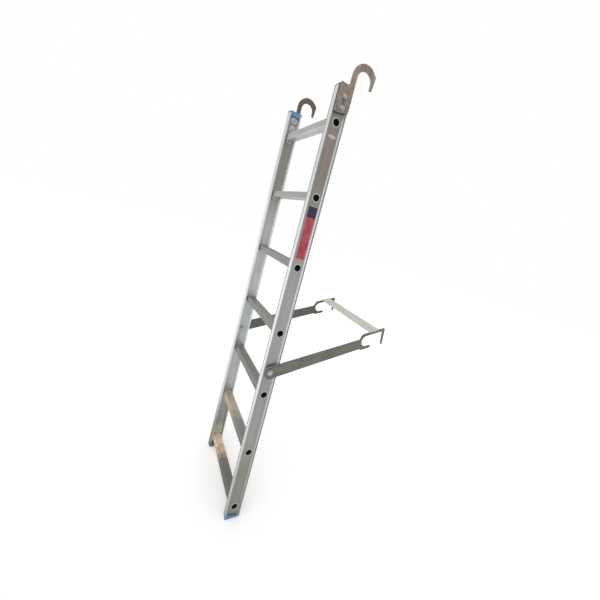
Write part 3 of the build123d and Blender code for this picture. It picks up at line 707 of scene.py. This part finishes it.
class LADDER_OT_finish_standoff(Operator):
    """Give the stand-off frame its galvanised steel and its weld beads"""

    bl_idname = "ladder.finish_standoff"
    bl_label = "Finish stand-off frame"

    # Steps along a weld bead and round its skin, and the share of its length over which each end tapers
    bead_steps = 90
    skin_steps = 6
    taper_share = 1 / 12
    # Shares of the weld's leg: what is left at the ends, the height of the ripples, and the bead's hollow
    end_leg = 0.25
    ripple_height = 0.05
    hollow = 0.16
    # How far a bead's root lies in the corner that it fills
    root_depth = 0.3 * MM

    def execute(self, context):
        finish = context.scene.ladder_finish
        detail = context.scene.ladder_detail
        # The arms' edges near the pivot: rubbing and a painted highlight
        arm = coated_steel(
            "galvanised_flat_arm", finish, finish.arm, finish.arm_dull, finish.arm_marks,
            turn=-detail.arm_rise, rub=(middle("pivot_bolt_right"), finish.arm_rub_and_highlight),
        )
        dress(arm, *paired("standoff_arm"))
        bar = coated_steel(
            "galvanised_flat_crossbar", finish, finish.crossbar, finish.crossbar_dull, finish.bar_marks,
            left_darkening=0.0,
        )
        dress(bar, "standoff_crossbar")
        soften(detail.plate_edge, "standoff_crossbar", *paired("standoff_arm"))
        weld = self.weld_steel(finish)
        for side, sign in SIDES.items():
            bead = self.weld_bead(detail, sign)
            new_piece(f"weld_bead_{side}", *bead, weld, "standoff", "plate_steel")
        return {"FINISHED"}

    def weld_steel(self, finish):
        """Mild steel weld, left as laid: dull grey-brown with a straw heat tint."""
        material, tree, shader, where = start_material("mild_steel_weld")
        sizes = (2 * finish.heat_tint, finish.heat_tint, finish.heat_tint)
        tint = mottle(tree, where["Object"], sizes, detail=4.0)
        tone = laid_over(tree, finish.weld, finish.hook_dull, tint, start=0.4, full=0.65)
        feed(shader, {"Metallic": 0.9, "Base Color": tone, "Roughness": 0.42})
        return material

    def weld_bead(self, detail, sign):
        """A rippled bead in the corner between the crossbar's underside and an arm's inner face."""
        along = Vector((0, math.cos(detail.arm_rise), math.sin(detail.arm_rise)))
        down = Vector((0, math.sin(detail.arm_rise), -math.cos(detail.arm_rise)))
        inward = Vector((-sign, 0, 0))
        arm_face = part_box("standoff_arm_right")[0].x
        bar_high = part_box("standoff_crossbar")[1]
        underside = bar_high.z - detail.bar_thickness * math.cos(detail.arm_rise)
        corner = Vector((sign * arm_face, bar_high.y, underside))
        rows = []
        for i in range(self.bead_steps + 1):
            share = i / self.bead_steps
            taper = min(1.0, share / self.taper_share, (1 - share) / self.taper_share) ** 0.5
            leg = detail.weld_leg * (self.end_leg + (1 - self.end_leg) * taper)
            root = corner - along * (detail.weld_inset + share * detail.weld_length)
            row = [root - inward * self.root_depth - down * self.root_depth]
            for j in range(self.skin_steps + 1):
                turn = math.pi / 2 * j / self.skin_steps
                lag = math.sin(2 * turn) * 0.5 * detail.weld_ripple
                phase = 2 * math.pi * (share * detail.weld_length + lag) / detail.weld_ripple
                swell = 1 + self.ripple_height * math.cos(phase)
                reach = leg * swell * (1 - self.hollow * math.sin(2 * turn))
                row.append(root + inward * reach * math.cos(turn) + down * reach * math.sin(turn))
            rows.append(row if sign > 0 else row[::-1])
        return skin(rows)


def plated_steel(name, finish, clean, dull):
    """Steel with an electroplated zinc skin: smooth and shiny, with spots of bloom and grime."""
    material, tree, shader, where = start_material(name)
    bloom = mottle(tree, where["Object"], [finish.bloom] * 3, detail=4.0)
    tone = laid_over(tree, clean, dull, bloom, start=0.45, full=0.75, most=0.6)
    rough = roughness(tree, bloom, smooth=0.2, rough=0.4)
    feed(shader, {"Metallic": 0.9, "Base Color": tone, "Roughness": rough})
    return material


class LADDER_OT_finish_fasteners(Operator):
    """Give bolts, nuts, washers and bushes their zinc, threads and locking collars"""

    bl_idname = "ladder.finish_fasteners"
    bl_label = "Finish fasteners"

    # How far a thread starts behind its bolt's end, and how far it runs into the nut
    end_gap = 0.1 * MM
    nut_overlap = 0.2 * MM
    # Play between the pivot bolt and the ring in its nut
    ring_play = 0.5 * MM
    # Profiles in millimetres: how far in or out of the nut's end, and how far outside the ring's bore
    collar_profile = ((0.2, 2.2), (-1.0, 2.2), (-1.5, 1.9), (-1.6, 1.3), (-1.3, 1.0), (0.2, 1.0))
    ring_profile = ((0.2, 1.1), (-1.0, 1.1), (-1.15, 0.8), (-1.15, 0.3), (-0.9, 0.0), (0.2, 0.0))

    def execute(self, context):
        # Most of the zinc is bluish and bright, the hook bolts' is passivated to a warm grey
        finish = context.scene.ladder_finish
        detail = context.scene.ladder_detail
        bright = plated_steel("bright_zinc_plating", finish, finish.zinc, finish.zinc_dull)
        warm = plated_steel("passivated_zinc_plating", finish, finish.passivated, finish.passivated_dull)
        pivot = ("pivot_bolt", "pivot_bush", "pivot_lock_nut", "pivot_washers")
        for group in (*pivot, "hook_nuts", "hook_washers"):
            dress(bright, *paired(group))
        dress(warm, *paired("hook_bolts"))
        plastic = bpy.data.materials["moulded_polypropylene"]
        for side, sign in SIDES.items():
            self.cut_hook_threads(detail, side, sign, warm)
            self.cut_pivot_thread(detail, side, sign, bright)
            collar = self.nut_ring(detail, side, sign, self.collar_profile)
            new_piece(f"lock_nut_collar_{side}", *collar, bright, "ladder", "zinc_fasteners")
            ring = self.nut_ring(detail, side, sign, self.ring_profile)
            new_piece(f"lock_nut_ring_{side}", *ring, plastic, "ladder", "blue_plastic")
        return {"FINISHED"}

    def thread_ends(self, bolt, nut, side, sign):
        """Where the thread that sticks out of a nut starts and ends."""
        start, end = inner_end(bolt, side), inner_end(nut, side)
        start.x += sign * self.end_gap
        end.x += sign * self.nut_overlap
        return start, end

    def cut_hook_threads(self, detail, side, sign, material):
        """The threads of the hook bolts that stick out of their nuts inside a stile."""
        low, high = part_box(f"hook_bolts_{side}")
        for number, z in enumerate((low.z + detail.hook_flats / 2, high.z - detail.hook_flats / 2), 1):
            start, end = self.thread_ends("hook_bolts", "hook_nuts", side, sign)
            start.z = end.z = z
            shape = thread(detail, start, end, detail.hook_thread / 2, detail.hook_pitch)
            new_piece(f"hook_bolt_thread_{side}_{number}", *shape, material, "ladder", "zinc_fasteners")

    def cut_pivot_thread(self, detail, side, sign, material):
        """The thread of the pivot bolt that sticks out of its locking nut."""
        start, end = self.thread_ends("pivot_bolt", "pivot_lock_nut", side, sign)
        shape = thread(detail, start, end, detail.pivot_thread / 2, detail.pivot_pitch)
        new_piece(f"pivot_bolt_thread_{side}", *shape, material, "ladder", "zinc_fasteners")

    def nut_ring(self, detail, side, sign, profile):
        """A ring on the locking nut's inner end: its crimped collar, or the plastic ring in that."""
        bore = detail.pivot_thread / 2 + self.ring_play
        outline = [(sign * x * MM, bore + r * MM) for x, r in profile]
        seat = inner_end("pivot_lock_nut", side)
        return turned_ring(seat, outline if sign > 0 else outline[::-1], detail.round_steps)


class LADDER_OT_finish_label(Operator):
    """Give the label its plain printed film"""

    bl_idname = "ladder.finish_label"
    bl_label = "Finish label"

    # Softness of a printed edge
    print_blur = 0.1 * MM

    def execute(self, context):
        # Vinyl film, screen printed: satin red field under a navy block, with a plain pale line round the
        # field and a little fading from the weather
        finish = context.scene.ladder_finish
        low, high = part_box("label")
        half_width = (high.y - low.y) / 2
        line_start = finish.label_line_width + self.print_blur
        line_full = finish.label_line_width - self.print_blur
        head_foot = high.z - finish.label_head_height
        material, tree, shader, where = start_material("printed_vinyl_film")
        spot = add(tree, "ShaderNodeSeparateXYZ", {"Vector": where["Object"]}).outputs
        off = add(tree, "ShaderNodeMath", {"operation": "SUBTRACT", 0: spot["Y"], 1: middle("label").y})
        aside = add(tree, "ShaderNodeMath", {"operation": "ABSOLUTE", 0: off.outputs[0]}).outputs[0]
        fade = mottle(tree, where["Object"], finish.label_fade, detail=4.0)
        tone = laid_over(tree, finish.label_field, finish.label_line, fade, start=0.4, full=0.75, most=0.2)
        start, full = half_width - line_start, half_width - line_full
        tone = laid_over(tree, tone, finish.label_line, aside, start, full, most=0.35)
        tone = at_heights(tree, tone, finish.label_line, spot, low.z, (line_start, line_full), most=0.35)
        tone = at_heights(tree, tone, finish.label_head, spot, head_foot, (0.0, self.print_blur))
        rough = roughness(tree, fade, smooth=0.3, rough=0.45)
        feed(shader, {"IOR": 1.5, "Base Color": tone, "Roughness": rough})
        dress(material, "label")
        return {"FINISHED"}


class LADDER_OT_build_stage(Operator):
    """Lay the floor, hang the lights and set the camera"""

    bl_idname = "ladder.build_stage"
    bl_label = "Build stage"

    def execute(self, context):
        scene = context.scene
        stage = scene.ladder_stage
        scene.view_settings.view_transform = "Standard"
        self.lay_floor(scene, stage)
        self.light_world(scene, stage)
        self.hang_light(scene, "key_softbox", stage.key_power, stage.key_size, stage.key_place)
        self.hang_light(scene, "top_softbox", stage.top_power, stage.top_size, stage.top_place)
        self.set_camera(scene, stage)
        return {"FINISHED"}

    def seen(self, tree):
        """Whether a ray comes from the camera, or from it by way of a shiny or clear surface."""
        path = add(tree, "ShaderNodeLightPath").outputs
        seen = path["Is Camera Ray"]
        for kind in ("Is Glossy Ray", "Is Transmission Ray"):
            seen = add(tree, "ShaderNodeMath", {"operation": "MAXIMUM", 0: seen, 1: path[kind]}).outputs[0]
        return seen

    def lay_floor(self, scene, stage):
        """A white paper floor under the feet: it glows as seen where the lamps don't reach, so that it stays
        white there and keeps the shadow under the ladder."""
        half = stage.floor_size / 2
        level = cad_box[0][2]
        square = ((-half, -half), (half, -half), (half, half), (-half, half))
        corners = [(x, y, level) for x, y in square]
        mesh = bpy.data.meshes.new("paper_floor")
        mesh.from_pydata(corners, [], [(0, 1, 2, 3)])
        floor = bpy.data.objects.new("paper_floor", mesh)
        scene.collection.objects.link(floor)
        material, tree, shader, where = start_material("white_paper")
        pool = (*stage.pool_middle, level)
        away = add(tree, "ShaderNodeVectorMath", {"operation": "DISTANCE", 0: where["Object"], 1: pool})
        faint = add(tree, "ShaderNodeMapRange", {
            "Value": away.outputs["Value"], "From Max": stage.pool_radius,
            "To Min": stage.near_glow, "To Max": stage.far_glow,
        })
        seen = self.seen(tree)
        glow = add(tree, "ShaderNodeMath", {"operation": "MULTIPLY", 0: seen, 1: faint.outputs[0]})
        feed(shader, {
            "Roughness": 0.9, "Specular IOR Level": 0.0, "Base Color": stage.paper,
            "Emission Color": stage.paper, "Emission Strength": glow.outputs[0],
        })
        mesh.materials.append(material)

    def light_world(self, scene, stage):
        """White as seen, and an even plain light on the object."""
        world = bpy.data.worlds.new("white_studio")
        scene.world = world
        world.use_nodes = True
        tree = world.node_tree
        tree.nodes.clear()
        light = add(tree, "ShaderNodeBackground", {"Color": (1, 1, 1, 1), "Strength": stage.sky})
        white = add(tree, "ShaderNodeBackground", {"Color": (1, 1, 1, 1), "Strength": 1.0})
        seen = self.seen(tree)
        mix = add(tree, "ShaderNodeMixShader", {0: seen, 1: light.outputs[0], 2: white.outputs[0]})
        add(tree, "ShaderNodeOutputWorld", {"Surface": mix.outputs[0]})

    def hang_light(self, scene, name, power, size, place):
        """A soft rectangular light aimed at the middle of the ladder."""
        lamp = bpy.data.lights.new(name, "AREA")
        lamp.shape = "RECTANGLE"
        lamp.size, lamp.size_y = size
        lamp.energy = power
        light = bpy.data.objects.new(name, lamp)
        light.location = place
        aim = (Vector(cad_box[0]) + Vector(cad_box[1])) / 2 - Vector(place)
        light.rotation_euler = aim.to_track_quat("-Z", "Y").to_euler()
        scene.collection.objects.link(light)

    def set_camera(self, scene, stage):
        """The photograph's camera, worked out from its place, its turns and its focal length in pixels."""
        lens = bpy.data.cameras.new("photo_camera")
        lens.sensor_width = SENSOR_WIDTH
        lens.lens = stage.focal_pixels * SENSOR_WIDTH / IMAGE_SIDE
        lens.shift_x = (IMAGE_SIDE / 2 - stage.centre_pixel[0]) / IMAGE_SIDE
        lens.shift_y = (stage.centre_pixel[1] - IMAGE_SIDE / 2) / IMAGE_SIDE
        lens.clip_start = 10 * MM
        camera = bpy.data.objects.new("photo_camera", lens)
        turn = Matrix.Rotation(stage.camera_azimuth, 4, "Z")
        tilt = Matrix.Rotation(math.pi / 2 + stage.camera_elevation, 4, "X")
        roll = Matrix.Rotation(stage.camera_roll, 4, "Z")
        camera.matrix_world = Matrix.Translation(stage.camera_place) @ turn @ tilt @ roll
        scene.collection.objects.link(camera)
        scene.camera = camera


GROUPS = {"ladder_finish": LadderFinish, "ladder_detail": LadderDetail, "ladder_stage": LadderStage}

STEPS = (
    LADDER_OT_finish_stiles,
    LADDER_OT_finish_rungs,
    LADDER_OT_finish_plastic,
    LADDER_OT_finish_hooks,
    LADDER_OT_finish_standoff,
    LADDER_OT_finish_fasteners,
    LADDER_OT_finish_label,
    LADDER_OT_build_stage,
)


class LADDER_PT_sidebar(Panel):
    """Lists the ladder's settings and the steps that dress it"""

    bl_idname = "LADDER_PT_sidebar"
    bl_label = "Hook ladder"
    bl_space_type = "VIEW_3D"
    bl_region_type = "UI"
    bl_category = "Ladder"

    def draw(self, context):
        layout = self.layout
        for step in STEPS:
            layout.operator(step.bl_idname)
        for name in GROUPS:
            group = getattr(context.scene, name)
            box = layout.box()
            for key in group.__annotations__:
                box.prop(group, key)


def register():
    for name, group in GROUPS.items():
        bpy.utils.register_class(group)
        setattr(bpy.types.Scene, name, PointerProperty(type=group))
    for step in STEPS:
        bpy.utils.register_class(step)
    bpy.utils.register_class(LADDER_PT_sidebar)


def unregister():
    bpy.utils.unregister_class(LADDER_PT_sidebar)
    for step in reversed(STEPS):
        bpy.utils.unregister_class(step)
    for name, group in GROUPS.items():
        delattr(bpy.types.Scene, name)
        bpy.utils.unregister_class(group)


def main():
    register()
    for step in STEPS:
        family, action = step.bl_idname.split(".")
        getattr(getattr(bpy.ops, family), action)()


if __name__ == "__main__":
    main()
